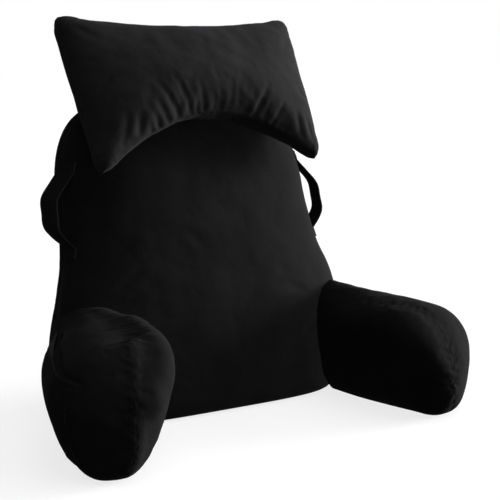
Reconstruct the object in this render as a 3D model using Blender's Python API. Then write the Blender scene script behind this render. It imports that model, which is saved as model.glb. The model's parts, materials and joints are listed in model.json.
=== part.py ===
"""Reading pillow with arms: a filled back that leans, two filled arms that splay forward from its sides,
a neck pillow bent over the back's top, two webbing carry loops and a pocket on the outside of one arm.

Metres, +Z up. The sitter leans on the side that faces -Y, and X = 0 is the middle of the pillow.
The origin is the middle of the back's flat underside."""

import math

import bmesh
import bpy
import numpy as np

for old in list(bpy.data.objects):
    bpy.data.objects.remove(old, do_unlink=True)

# ---------------------------------------------------------------- driving dimensions

CLEARANCE = 0.0003          # between pieces that touch
CLOTH_THICKNESS = 0.002
BLACK = (0.012, 0.012, 0.013)
WEBBING_BLACK = (0.016, 0.016, 0.017)

BACK_HEIGHT = 0.564
BACK_LEAN = 0.282           # how far the front face goes back for each metre of height
BACK_FRONT_FOOT = -0.110    # y of the front face at the floor
BACK_FOOT_DEPTH = 0.219
BACK_FRONT_CROWN = 0.030    # how far the middle of the front swells out
BACK_CROWN_FULLNESS = 0.8   # below 1 the swell stays full nearer the floor and the top
BACK_SQUARENESS = 3.8       # superellipse power of a level section, 2 is an ellipse
BACK_SHOULDER_START = 0.323  # height where the sides start to round in to the top
BACK_SHOULDER_SQUARENESS = 3.6
BACK_CROWN_START = 0.400    # height where front and rear start to close to the top
BACK_CROWN_SQUARENESS = 2.2
BACK_FOOT_ROUND = 0.030     # height of the rounded edge at the floor
BACK_FOOT_INSET = 0.018
BACK_RINGS = 30
BACK_AROUND = 52

# height as a share of BACK_HEIGHT, half width at the rear, extra half width at the front, depth
BACK_COLUMNS = ("share", "half_width", "front_spread", "depth")
BACK_ROWS = (
    (0.00, 0.263, 0.004, BACK_FOOT_DEPTH),
    (0.18, 0.288, 0.012, 0.187),
    (0.40, 0.262, 0.040, 0.154),
    (0.50, 0.254, 0.016, 0.144),
    (0.62, 0.250, 0.002, 0.141),
    (0.75, 0.248, 0.000, 0.143),
    (1.00, 0.245, 0.000, 0.145),
)

ARM_ROOT = (0.249, 0.000)  # x and y where the arm's middle line starts, inside the back
ARM_SPLAY = math.radians(9.3)
ARM_LENGTH = 0.365          # from the root to the nose seam
ARM_TAIL = 0.060            # the rounded rear end beside the back
ARM_NOSE_START = 0.268      # where the sides start to close to the nose seam
ARM_NOSE_SQUARENESS = 2.2
ARM_NOSE_ROOT = 1.6         # below the squareness it leaves a corner at the seam
ARM_PANEL_NOSE_START = 0.288  # the same on the sitter's side, a flatter panel with a corner at the seam
ARM_PANEL_NOSE_ROOT = 1.45
ARM_BROW_START = 0.273      # where the top starts to roll down to the nose
ARM_BROW_SQUARENESS = 2.0
ARM_NOSE_HEIGHT = 0.070     # height of the foremost point of the nose
ARM_FOOT_ROUND = 0.062      # length of the rounding under the nose
ARM_OUTER_SQUARENESS = 2.1
ARM_LOWER_SQUARENESS = 3.0
ARM_INNER_UNDERCUT = 0.47   # how much narrower the arm is at the floor, as a share of its half width
ARM_OUTER_UNDERCUT = 0.50
ARM_UNDERCUT_POWER = 1.2    # 1 narrows it evenly from its top to the floor
ARM_FOOT_DRIFT = 0.030      # how far the underside leans outwards at the nose
ARM_FOOT_SINK = 0.004       # flattens the underside where it rests
ARM_DROP_POWER = 1.5        # above 1 the top falls fastest close to the panel's edge
ARM_LEAST_HALF_WIDTH = 0.001  # at the nose seam
ARM_TAIL_TRIM = 0.06        # radians of the end's rounding that stay flat
ARM_NOSE_TRIM = 0.03
ARM_AROUND = 40

# distance along the middle line, half width on the sitter's side, half width outside, top's height,
# how square the panel on the sitter's side is at its top, and how far its top edge slumps on each arm
ARM_COLUMNS = ("along", "inner", "outer", "top", "panel_squareness", "right_slump", "left_slump")
ARM_ROWS = (
    (0.000, 0.034, 0.058, 0.210, 3.6, 0.034, -0.006),
    (0.080, 0.060, 0.070, 0.208, 3.9, 0.031, -0.012),
    (0.160, 0.087, 0.102, 0.206, 4.2, 0.024, -0.013),
    (0.240, 0.095, 0.116, 0.203, 4.2, 0.013, -0.009),
    (0.310, 0.095, 0.123, 0.201, 3.8, 0.004, -0.003),
    (0.365, 0.095, 0.127, 0.198, 3.2, 0.000, 0.000),
)

NECK_WIDTH = 0.480
NECK_HEIGHT = 0.310
NECK_LIFT = 0.003           # how far one lower corner rides up and the other hangs down
NECK_CENTRE = (0.0277, 0.574)  # y and z of the middle of its seam plane
NECK_RECLINE = math.radians(31.5)
NECK_FRONT_CROWN = 0.062
NECK_REAR_CROWN = 0.090      # it sags back on to the top of the back
NECK_SIDE_FULLNESS = 0.30   # of the front close to the side seams, low is full
NECK_EDGE_FULLNESS = 0.36   # the same elsewhere
NECK_ARCH_SLOPE = 0.45      # how much gentler it rises from the arched edge
NECK_TOP_SAG = 0.028
NECK_ARCH = 0.085           # how far the lower edge arches up in its middle
NECK_ARCH_SHARPNESS = 1.2
NECK_ARCH_SWELL = 0.039     # how far that middle is pushed forward by the back behind it
NECK_SIDE_SAG = 0.009
NECK_TAPER = 0.016          # how much nearer the lower corners are to the middle
NECK_SEAM = 0.001           # half the thickness at the seams
GATHER_COUNT = 11           # gathers that fan up from the arched edge
GATHER_DEPTH = 0.0035
GATHER_SPREAD = 0.52        # share of the width that they take
GATHER_TOP = 0.35           # where they end, from -1 at the lower edge to 1 at the upper
GATHER_FADE = 1.5

STRAP_WIDTH = 0.050
STRAP_TOP = 0.452
STRAP_BOTTOM = 0.288
STRAP_STAND_OFF = 0.034     # the hand's room between a loop and the back's side
STRAP_FORWARD = 0.020       # how far the loop's middle is in front of the middle of the back's side
STRAP_TAB = 0.018           # the length at each end that is sewn down flat

# the loop's stand-off from the back's side, from its upper tab down to its lower one
STRAP_BOW_COLUMNS = ("share", "stand_off")
STRAP_BOW_ROWS = (
    (0.00, 0.00),
    (0.15, 0.42),
    (0.36, 0.97),
    (0.55, 1.00),
    (0.78, 0.86),
    (0.90, 0.45),
    (1.00, 0.00),
)

POCKET_REAR = 0.045         # along the arm's middle line
POCKET_FRONT = 0.316
POCKET_MOUTH_REAR = 0.170   # height of the mouth at either end
POCKET_MOUTH_FRONT = 0.154
POCKET_MOUTH_BEND = 3       # above 1 most of the mouth's fall is towards its front end
POCKET_FOOT = 0.024
POCKET_GAPE = 0.010         # how far the mouth's middle stands off the arm
POCKET_GAPE_FULLNESS = 0.6


# ---------------------------------------------------------------- shared helpers

def read_table(columns, rows):
    return {name: np.array([row[place] for row in rows]) for place, name in enumerate(columns)}


def smooth(knots, values, at):
    """A smooth curve through a table's column."""
    slopes = np.gradient(values, knots)
    place = np.clip(np.searchsorted(knots, at, side="right") - 1, 0, len(knots) - 2)
    span = knots[place + 1] - knots[place]
    t = (at - knots[place]) / span
    return ((2 * t**3 - 3 * t**2 + 1) * values[place] + (3 * t**2 - 2 * t**3) * values[place + 1]
            + (t**3 - 2 * t**2 + t) * span * slopes[place] + (t**3 - t**2) * span * slopes[place + 1])


def closing(share, squareness):
    """1 up to share 0, then round down to 0 at share 1."""
    return (1 - np.clip(share, 0, 1) ** squareness) ** (1 / squareness)


def squared(wave, squareness):
    """A sine or cosine bent to a superellipse."""
    return np.sign(wave) * np.abs(wave) ** (2 / squareness)


def crowded_ends(count):
    """Shares from 0 to 1 that lie closer together at both ends."""
    return 0.5 - 0.5 * np.cos(np.linspace(0, math.pi, count))


def cloth(name, colour, roughness):
    material = bpy.data.materials.new(name)
    material.use_nodes = True
    shader = material.node_tree.nodes["Principled BSDF"]
    shader.inputs["Base Color"].default_value = (*colour, 1)
    shader.inputs["Roughness"].default_value = roughness
    shader.inputs["Metallic"].default_value = 0
    return material


def add_solid(name, points, faces, material):
    mesh = bpy.data.meshes.new(name)
    mesh.from_pydata([tuple(point) for point in points], [], faces)
    work = bmesh.new()
    work.from_mesh(mesh)
    bmesh.ops.recalc_face_normals(work, faces=work.faces)
    work.to_mesh(mesh)
    work.free()
    mesh.shade_smooth()
    solid = bpy.data.objects.new(name, mesh)
    solid.data.materials.append(material)
    bpy.context.collection.objects.link(solid)
    return solid


def add_tube(name, rings, material):
    """A solid whose rings of points follow each other, with a flat cap at both ends.

    Its sides are triangles, so that a grown copy has its diagonals in the same places."""
    count, around = rings.shape[:2]
    faces = [tuple(range(around)), tuple((count - 1) * around + k for k in range(around))]
    for ring in range(count - 1):
        low, high = ring * around, (ring + 1) * around
        for k in range(around):
            after = (k + 1) % around
            faces += [(low + k, low + after, high + after), (low + k, high + after, high + k)]
    return add_solid(name, rings.reshape(-1, 3), faces, material)


def add_slab(name, outer, inner, material):
    """A solid between two grids of points, closed round their edges."""
    rows, columns = outer.shape[:2]
    half = rows * columns
    faces = []
    for row in range(rows - 1):
        for column in range(columns - 1):
            a = row * columns + column
            quad = (a, a + 1, a + columns + 1, a + columns)
            faces += [quad, tuple(half + corner for corner in quad)]
    rim = ([column for column in range(columns)]
           + [row * columns + columns - 1 for row in range(1, rows)]
           + [(rows - 1) * columns + column for column in range(columns - 2, -1, -1)]
           + [row * columns for row in range(rows - 2, 0, -1)])
    for here, after in zip(rim, rim[1:] + rim[:1]):
        faces.append((here, after, half + after, half + here))
    return add_solid(name, np.concatenate([outer.reshape(-1, 3), inner.reshape(-1, 3)]), faces, material)


def cut_away(solid, cutter):
    cut = solid.modifiers.new("seat", "BOOLEAN")
    cut.operation = "DIFFERENCE"
    cut.object = cutter


# ---------------------------------------------------------------- back cushion

BACK = read_table(BACK_COLUMNS, BACK_ROWS)


def back_section(height, grow=0.0):
    """Half width, front spread, middle y and half depth of the level section at a height."""
    share = np.clip(height / BACK_HEIGHT, 0, 1)
    top = BACK_HEIGHT + grow
    shoulder = closing((height - BACK_SHOULDER_START) / (top - BACK_SHOULDER_START), BACK_SHOULDER_SQUARENESS)
    crown = closing((height - BACK_CROWN_START) / (top - BACK_CROWN_START), BACK_CROWN_SQUARENESS)
    depth = smooth(BACK["share"], BACK["depth"], share)
    middle = BACK_FRONT_FOOT + BACK_LEAN * height + depth / 2
    half_width = smooth(BACK["share"], BACK["half_width"], share) * shoulder + grow
    spread = smooth(BACK["share"], BACK["front_spread"], share)
    return half_width, spread, middle, depth / 2 * crown + grow


def front_crown(height):
    return BACK_FRONT_CROWN * np.sin(math.pi * np.clip(height / BACK_HEIGHT, 0, 1)) ** BACK_CROWN_FULLNESS


def back_rings(heights, around, grow=0.0, foot_inset=0.0):
    angle = np.linspace(0, 2 * math.pi, around, endpoint=False)
    across, along = squared(np.cos(angle), BACK_SQUARENESS), squared(np.sin(angle), BACK_SQUARENESS)
    half_width, spread, middle, half_depth = back_section(heights, grow)
    inset = foot_inset * (1 - closing((BACK_FOOT_ROUND - heights) / BACK_FOOT_ROUND, 2))
    frontness = ((1 - along) / 2) ** 2
    x = across * ((half_width - inset)[:, None] + spread[:, None] * frontness)
    y = middle[:, None] + (half_depth - inset)[:, None] * along
    y -= front_crown(heights)[:, None] * (1 - across**2) * frontness
    z = np.repeat(heights[:, None], around, axis=1)
    return np.stack([x, y, z], axis=-1)


def side_of_back(y, height):
    """x of the back's side skin at a point seen from the side."""
    half_width, spread, middle, half_depth = back_section(height)
    swell = 0
    nearly_full = 0.98
    for _ in range(4):
        along = np.clip((y + swell - middle) / half_depth, -nearly_full, nearly_full)
        across = (1 - np.abs(along) ** BACK_SQUARENESS) ** (1 / BACK_SQUARENESS)
        frontness = ((1 - along) / 2) ** 2
        swell = front_crown(height) * (1 - across**2) * frontness
    return across * (half_width + spread * frontness)


def back_heights():
    heights = crowded_ends(BACK_RINGS) * BACK_HEIGHT
    heights[-1] -= CLEARANCE
    return heights


def make_back(material):
    rings = back_rings(back_heights(), BACK_AROUND, foot_inset=BACK_FOOT_INSET)
    return add_tube("back_cushion", rings, material)


def make_back_cutter(material):
    """The back's shape grown by the clearance: what leans on the back is cut to it."""
    heights = back_heights()
    below_floor = -0.020
    heights[0] = below_floor
    heights[-1] += CLEARANCE
    cutter = add_tube("back_seat_cutter", back_rings(heights, BACK_AROUND, grow=CLEARANCE), material)
    cutter.hide_render = True
    cutter.display_type = "WIRE"
    return cutter


# ---------------------------------------------------------------- arms

ARM = read_table(ARM_COLUMNS, ARM_ROWS)


def arm_skin(along, angle, side):
    """A point of an arm's skin: a distance along its middle line and an angle round it."""
    nose_share = np.clip((along - ARM_NOSE_START) / (ARM_LENGTH - ARM_NOSE_START), 0, 1)
    panel_share = np.clip((along - ARM_PANEL_NOSE_START) / (ARM_LENGTH - ARM_PANEL_NOSE_START), 0, 1)
    nose = (1 - nose_share**ARM_NOSE_SQUARENESS) ** (1 / ARM_NOSE_ROOT)
    panel_nose = (1 - panel_share**ARM_NOSE_SQUARENESS) ** (1 / ARM_PANEL_NOSE_ROOT)
    brow = closing((along - ARM_BROW_START) / (ARM_LENGTH - ARM_BROW_START), ARM_BROW_SQUARENESS)
    foot = closing((along - (ARM_LENGTH - ARM_FOOT_ROUND)) / ARM_FOOT_ROUND, 2)
    tail = closing(-along / ARM_TAIL, 2)
    station = np.clip(along, 0, ARM_LENGTH)
    forwardness = station / ARM_LENGTH
    across, up = np.cos(angle), np.sin(angle)
    inner_half, lower_half = across < 0, up < 0
    panel_squareness = smooth(ARM["along"], ARM["panel_squareness"], station)
    squareness = np.where(inner_half, panel_squareness, ARM_OUTER_SQUARENESS)
    squareness = np.where(lower_half, ARM_LOWER_SQUARENESS, squareness)
    across, up = squared(across, squareness), squared(up, squareness)
    lowness = ((1 - up) / 2) ** ARM_UNDERCUT_POWER
    inner = smooth(ARM["along"], ARM["inner"], station) * (1 - ARM_INNER_UNDERCUT * lowness * forwardness)
    outer = smooth(ARM["along"], ARM["outer"], station) * (1 - ARM_OUTER_UNDERCUT * lowness)
    half_width = np.where(inner_half, inner * panel_nose, outer * nose) * tail
    half_width = np.maximum(half_width, ARM_LEAST_HALF_WIDTH)
    width = half_width * across + ARM_FOOT_DRIFT * forwardness * lowness * nose
    top = smooth(ARM["along"], ARM["top"], station)
    top = ARM_NOSE_HEIGHT + (top - ARM_NOSE_HEIGHT) * brow * tail
    bottom = ARM_NOSE_HEIGHT * (1 - foot * tail)
    height = (top + bottom) / 2 + (top - bottom) / 2 * up
    drop = smooth(ARM["along"], ARM["right_slump" if side > 0 else "left_slump"], station) * tail
    height -= np.where(inner_half, drop * np.abs(across) ** ARM_DROP_POWER * np.clip(up, 0, 1), 0)
    x = ARM_ROOT[0] + along * math.sin(ARM_SPLAY) + width * math.cos(ARM_SPLAY)
    y = ARM_ROOT[1] - along * math.cos(ARM_SPLAY) + width * math.sin(ARM_SPLAY)
    return np.stack([side * x, y, np.maximum(height - ARM_FOOT_SINK, 0)], axis=-1)


def make_arm(name, side, cutter, material):
    tail = -ARM_TAIL * np.cos(np.linspace(ARM_TAIL_TRIM, math.pi / 2, 7))[:-1]
    shaft = np.linspace(0, ARM_BROW_START, 9)[:-1]
    turn = np.linspace(0, math.pi / 2 - ARM_NOSE_TRIM, 15)
    nose = ARM_BROW_START + (ARM_LENGTH - ARM_BROW_START) * np.sin(turn)
    along = np.concatenate([tail, shaft, nose])
    angle = np.linspace(0, 2 * math.pi, ARM_AROUND, endpoint=False)
    rings = arm_skin(along[:, None], angle[None, :], side)
    arm = add_tube(name, rings, material)
    cut_away(arm, cutter)
    return arm


# ---------------------------------------------------------------- neck pillow

def neck_shares():
    """Shares across from -1 to 1, closest together at the side seams and in the gathered middle."""
    middle = np.linspace(-GATHER_SPREAD, GATHER_SPREAD, 4 * GATHER_COUNT + 1)
    edge = 1 - (1 - GATHER_SPREAD) * (1 - np.sin(np.linspace(0, math.pi / 2, 9)))[1:]
    return np.concatenate([-edge[::-1], middle, edge])


def make_neck_pillow(cutter, material):
    across = neck_shares()[:, None]
    up = np.sin(np.linspace(-math.pi / 2, math.pi / 2, 17))[None, :]
    middleness = 1 - across**2
    half_height = NECK_HEIGHT / 2
    upper = half_height - NECK_TOP_SAG * middleness
    lower = -half_height + NECK_ARCH * middleness**NECK_ARCH_SHARPNESS
    rise = lower + (upper - lower) * (up + 1) / 2 + NECK_LIFT * across * (1 - up) / 2
    width = NECK_WIDTH / 2 * (1 - NECK_SIDE_SAG * (1 - up**2)) - NECK_TAPER * (1 - up) / 2
    x = across * width
    swell = NECK_ARCH_SWELL * middleness * ((1 - up) / 2) ** 2
    slope = NECK_EDGE_FULLNESS + NECK_ARCH_SLOPE * middleness * ((1 - up) / 2) ** 2
    fullness = (1 - up**2) ** slope
    fan = np.clip(1 - np.abs(across / GATHER_SPREAD), 0, 1) ** 0.5
    reach = np.clip((GATHER_TOP - up) / (GATHER_TOP + 1), 0, 1) ** GATHER_FADE * (1 - up**2) ** 0.5
    gathers = GATHER_DEPTH * fan * reach * np.cos(math.pi * GATHER_COUNT * across / GATHER_SPREAD)
    up_axis = np.array([0, math.sin(NECK_RECLINE), math.cos(NECK_RECLINE)])
    back_axis = np.array([0, math.cos(NECK_RECLINE), -math.sin(NECK_RECLINE)])
    plane = (np.array([0, *NECK_CENTRE]) + (x[..., None] * np.array([1, 0, 0])
             + rise[..., None] * up_axis - swell[..., None] * back_axis))
    face = NECK_FRONT_CROWN * middleness**NECK_SIDE_FULLNESS * fullness
    rear_face = NECK_REAR_CROWN * middleness**NECK_EDGE_FULLNESS * fullness
    front = plane - (face + gathers + NECK_SEAM)[..., None] * back_axis
    rear = plane + (rear_face + NECK_SEAM)[..., None] * back_axis
    pillow = add_slab("neck_pillow", front, rear, material)
    cut_away(pillow, cutter)
    return pillow


# ---------------------------------------------------------------- carry loops

def make_strap(name, side, material):
    """A flat band sewn down at both ends and bowed out between them."""
    share = np.linspace(0, 1, 25)
    height = STRAP_TOP + (STRAP_BOTTOM - STRAP_TOP) * share
    tab = STRAP_TAB / (STRAP_TOP - STRAP_BOTTOM)
    bow = np.clip((share - tab) / (1 - 2 * tab), 0, 1)
    loop = read_table(STRAP_BOW_COLUMNS, STRAP_BOW_ROWS)
    stand_off = STRAP_STAND_OFF * smooth(loop["share"], loop["stand_off"], bow)
    middle = back_section(height)[2] - STRAP_FORWARD
    edge = np.linspace(-STRAP_WIDTH / 2, STRAP_WIDTH / 2, 8)
    y = middle[:, None] + edge[None, :]
    z = np.repeat(height[:, None], len(edge), axis=1)
    x = side_of_back(y, z) + 3 * CLEARANCE + stand_off[:, None]
    inner = np.stack([x, y, z], axis=-1)
    tangent = np.gradient(inner, axis=0)
    normal = np.stack([-tangent[..., 2], np.zeros_like(x), tangent[..., 0]], axis=-1)
    normal /= np.linalg.norm(normal, axis=-1, keepdims=True)
    outer = inner + CLOTH_THICKNESS * normal
    flip = np.array([side, 1, 1])
    return add_slab(name, outer * flip, inner * flip, material)


# ---------------------------------------------------------------- pocket

def angle_at_height(along, height):
    """The angles round the arm's outer half where its skin is at given heights."""
    angles = np.linspace(-math.pi / 2, math.pi / 2, 400)
    heights = arm_skin(np.full_like(angles, along), angles, 1)[:, 2]
    return np.interp(height, heights, angles)


def make_pocket(material, side=-1):
    """A patch of cloth sewn to the arm's outer side along three edges, gaping at its mouth."""
    run = np.linspace(0, 1, 23)
    along = POCKET_REAR + (POCKET_FRONT - POCKET_REAR) * run
    drop = np.linspace(0, 1, 11)
    mouth = POCKET_MOUTH_REAR + (POCKET_MOUTH_FRONT - POCKET_MOUTH_REAR) * run**POCKET_MOUTH_BEND
    heights = mouth[:, None] + (POCKET_FOOT - mouth)[:, None] * drop[None, :]
    angle = np.array([angle_at_height(place, row) for place, row in zip(along, heights)])
    gape = POCKET_GAPE * np.sin(math.pi * run) ** POCKET_GAPE_FULLNESS
    bulge = gape[:, None] * (1 - drop)[None, :]
    skin = arm_skin(along[:, None], angle, side)
    by_run = np.gradient(skin, axis=0)
    by_drop = np.gradient(skin, axis=1)
    outward = np.cross(by_run, by_drop)
    outward /= np.linalg.norm(outward, axis=-1, keepdims=True)
    outward *= np.sign(outward[..., :1] * side)
    inner = skin + (2 * CLEARANCE + bulge)[..., None] * outward
    outer = inner + CLOTH_THICKNESS * outward
    return add_slab("pocket_left", outer, inner, material)


# ---------------------------------------------------------------- the pillow

make_back(cloth("back_velvet", BLACK, 0.85))
seat = make_back_cutter(cloth("cutter", BLACK, 0.85))
make_arm("arm_right", 1, seat, cloth("arm_right_velvet", BLACK, 0.85))
make_arm("arm_left", -1, seat, cloth("arm_left_velvet", BLACK, 0.85))
make_neck_pillow(seat, cloth("neck_velvet", BLACK, 0.85))
make_pocket(cloth("pocket_velvet", BLACK, 0.85))
for strap_name, strap_side in (("strap_right", 1), ("strap_left", -1)):
    make_strap(strap_name, strap_side, cloth(strap_name + "_webbing", WEBBING_BLACK, 0.7))
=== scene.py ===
"""The looks of a reading pillow with arms: black velvet over a filled back, two arms and a neck pillow,
with a pocket on one arm and webbing carry loops, on a pale floor in soft studio light.

Metres, +Z up. The sitter's side faces -Y. Each piece repeats the named sizes of the solid that it stands
for."""

import json
import math

import bmesh
import bpy
import numpy as np
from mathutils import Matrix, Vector, noise
from mathutils.bvhtree import BVHTree
from mathutils.kdtree import KDTree

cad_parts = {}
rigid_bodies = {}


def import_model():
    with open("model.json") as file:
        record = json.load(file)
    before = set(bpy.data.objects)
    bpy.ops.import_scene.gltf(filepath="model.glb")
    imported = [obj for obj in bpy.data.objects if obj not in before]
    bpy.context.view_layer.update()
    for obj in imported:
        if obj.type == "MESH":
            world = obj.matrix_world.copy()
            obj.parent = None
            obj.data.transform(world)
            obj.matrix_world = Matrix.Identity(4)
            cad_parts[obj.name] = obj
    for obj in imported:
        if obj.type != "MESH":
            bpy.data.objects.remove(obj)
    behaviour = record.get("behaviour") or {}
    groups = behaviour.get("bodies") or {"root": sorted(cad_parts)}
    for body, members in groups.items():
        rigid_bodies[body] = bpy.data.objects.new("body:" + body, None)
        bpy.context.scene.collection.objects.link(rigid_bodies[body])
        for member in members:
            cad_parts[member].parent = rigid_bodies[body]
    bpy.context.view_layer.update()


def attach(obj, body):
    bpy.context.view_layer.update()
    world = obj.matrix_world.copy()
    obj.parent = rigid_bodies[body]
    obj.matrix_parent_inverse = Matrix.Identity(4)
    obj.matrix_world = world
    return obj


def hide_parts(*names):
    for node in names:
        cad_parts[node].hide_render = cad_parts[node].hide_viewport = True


for old in list(bpy.data.objects):
    bpy.data.objects.remove(old, do_unlink=True)

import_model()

# ---------------------------------------------------------------- sizes shared with the solids

CLOTH_THICKNESS = 0.002

BACK_HEIGHT = 0.564
BACK_LEAN = 0.282
BACK_FRONT_FOOT = -0.110
BACK_FOOT_DEPTH = 0.219
BACK_FRONT_CROWN = 0.030
BACK_CROWN_FULLNESS = 0.8
BACK_SQUARENESS = 3.8
BACK_SHOULDER_START = 0.323
BACK_SHOULDER_SQUARENESS = 3.6
BACK_CROWN_START = 0.400
BACK_CROWN_SQUARENESS = 2.2
BACK_FOOT_ROUND = 0.030
BACK_FOOT_INSET = 0.018
BACK_COLUMNS = ("share", "half_width", "front_spread", "depth")
BACK_ROWS = (
    (0.00, 0.263, 0.004, BACK_FOOT_DEPTH),
    (0.18, 0.288, 0.012, 0.187),
    (0.40, 0.262, 0.040, 0.154),
    (0.50, 0.254, 0.016, 0.144),
    (0.62, 0.250, 0.002, 0.141),
    (0.75, 0.248, 0.000, 0.143),
    (1.00, 0.245, 0.000, 0.145),
)

ARM_ROOT = (0.249, 0.000)
ARM_SPLAY = math.radians(9.3)
ARM_LENGTH = 0.365
ARM_TAIL = 0.060
ARM_NOSE_START = 0.268
ARM_NOSE_SQUARENESS = 2.2
ARM_NOSE_ROOT = 1.6
ARM_PANEL_NOSE_START = 0.288
ARM_PANEL_NOSE_ROOT = 1.45
ARM_BROW_START = 0.273
ARM_BROW_SQUARENESS = 2.0
ARM_NOSE_HEIGHT = 0.070
ARM_FOOT_ROUND = 0.062
ARM_OUTER_SQUARENESS = 2.1
ARM_LOWER_SQUARENESS = 3.0
ARM_INNER_UNDERCUT = 0.47
ARM_OUTER_UNDERCUT = 0.50
ARM_UNDERCUT_POWER = 1.2
ARM_FOOT_DRIFT = 0.030
ARM_FOOT_SINK = 0.004
ARM_DROP_POWER = 1.5
ARM_COLUMNS = ("along", "inner", "outer", "top", "panel_squareness", "right_slump", "left_slump")
ARM_ROWS = (
    (0.000, 0.034, 0.058, 0.210, 3.6, 0.034, -0.006),
    (0.080, 0.060, 0.070, 0.208, 3.9, 0.031, -0.012),
    (0.160, 0.087, 0.102, 0.206, 4.2, 0.024, -0.013),
    (0.240, 0.095, 0.116, 0.203, 4.2, 0.013, -0.009),
    (0.310, 0.095, 0.123, 0.201, 3.8, 0.004, -0.003),
    (0.365, 0.095, 0.127, 0.198, 3.2, 0.000, 0.000),
)

NECK_WIDTH = 0.480
NECK_HEIGHT = 0.310
NECK_LIFT = 0.003
NECK_CENTRE = (0.0277, 0.574)
NECK_RECLINE = math.radians(31.5)
NECK_FRONT_CROWN = 0.062
NECK_REAR_CROWN = 0.090
NECK_SIDE_FULLNESS = 0.30
NECK_EDGE_FULLNESS = 0.36
NECK_ARCH_SLOPE = 0.45
NECK_TOP_SAG = 0.028
NECK_ARCH = 0.085
NECK_ARCH_SHARPNESS = 1.2
NECK_ARCH_SWELL = 0.039
NECK_SIDE_SAG = 0.009
NECK_TAPER = 0.016
NECK_SEAM_HALF = 0.001      # half the thickness of the seam round the neck pillow

STRAP_WIDTH = 0.050
STRAP_TOP = 0.452
STRAP_BOTTOM = 0.288
STRAP_STAND_OFF = 0.034
STRAP_FORWARD = 0.020
STRAP_TAB = 0.018
STRAP_LIFT = 0.0009
STRAP_BOW_COLUMNS = ("share", "stand_off")
STRAP_BOW_ROWS = (
    (0.00, 0.00),
    (0.15, 0.42),
    (0.36, 0.97),
    (0.55, 1.00),
    (0.78, 0.86),
    (0.90, 0.45),
    (1.00, 0.00),
)

POCKET_REAR = 0.045
POCKET_FRONT = 0.316
POCKET_MOUTH_REAR = 0.170
POCKET_MOUTH_FRONT = 0.154
POCKET_FOOT = 0.024
POCKET_GAPE = 0.010
POCKET_LIFT = 0.0006

# ---------------------------------------------------------------- sizes of the fine surface

BACK_STEP = 0.0045          # spacing of the fine meshes' points
ARM_STEP = 0.0029
NECK_COUNTS = (181, 111)    # points across and up
STRAP_COUNTS = (97, 25)     # points along and across
POCKET_COUNTS = (121, 65)   # points along the mouth and down from it
ROUTE_STEP = 0.0015         # spacing of the points that a seam's route is read at
SEAT_STEP = 0.012           # the form that the arms and the neck pillow are cut to
SEAT_GROW = 0.0006
GROUND_FADE = 0.02          # the surface's details fade out from this height down

# depth and width of a seam's groove, then its puckers' spacing, reach and depth
BACK_SEAM = (0.0020, 0.0035, (0.016, 0.022, 0.0010))
PANEL_SEAM = (0.0008, 0.0020, (0.010, 0.019, 0.0019))
NECK_SEAM = (0.0010, 0.0024, (0.012, 0.018, 0.0012))
POCKET_SEAM = (0.0010, 0.0018, (0.012, 0.014, 0.0009))
HEM_SEAM = (0.0010, 0.0018, (0.011, 0.010, 0.0008))
WEBBING_SEAM = (0.0008, 0.0011, None)
WEBBING_SEAM_ROWS = (2, 9, -10, -3)

# height, place and width of the soft roll beside a groove, as shares of the groove's depth and width
SEAM_ROLL = (0.3, 3.0, 1.6)
CREASE_ROLL = (0.45, 2.0, 1.2)
CREASE_FADE = 0.8

# ranges that a seam's puckers are drawn from, as shares of the seam's own values but for width and slant
PUCKER_SPACING = (0.55, 1.6)
PUCKER_REACH = (0.35, 1.3)
PUCKER_WIDTH = (0.0028, 0.0050)
PUCKER_DEPTH = (0.25, 1.2)
PUCKER_SLANT = (-0.45, 0.45)
PUCKER_START = 0.004        # within this distance of the seam a pucker is still rising
PUCKER_FOOT = 0.25          # its share at the seam itself

# size, depth and seed of the unevenness of the loose fillings
BACK_LUMPS = ((0.085, 0.0016, 3), (0.030, 0.0004, 8))
ARM_LUMPS = ((0.060, 0.0014, 20), (0.025, 0.0004, 30))
NECK_LUMPS = ((0.065, 0.0018, 41), (0.026, 0.0005, 43))
POCKET_LUMPS = ((0.045, 0.0010, 61),)
FINER_LUMPS = 0.4           # how strong the finer lumps in each are, and how much finer
FINER_SCALE = 2.3

COVER_VOXEL = 0.006         # the coarse copy whose cloth is simulated
COVER_PRESSURE = 4
COVER_BENDING = 0.3
COVER_QUALITY = 5
COVER_FRAMES = 20
COVER_FORM = 0.035          # what is wider than this belongs to the form, not to the wrinkles
COVER_STRIDE = 12           # every how many points the form is read
COVER_CAP = 0.0035          # no wrinkle is higher or deeper than this
COVER_NEAREST = 4           # how many of the coarse copy's points each fine point is moved by
NECK_WRINKLES = 0.5         # share of the simulated wrinkles that the neck pillow shows
NECK_FULLER = slice(40, -62)    # columns of its arched edge that are sewn with more cloth than they need
NECK_FULLNESS = (0.065, 0.034)  # how far that reaches, and how much more cloth it is
ARM_WRINKLES = 0.6
ARM_FULLNESS = (0.040, 0.030)

GATHER_REACH = 0.36         # height of the longest gather as a share of the face
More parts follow.
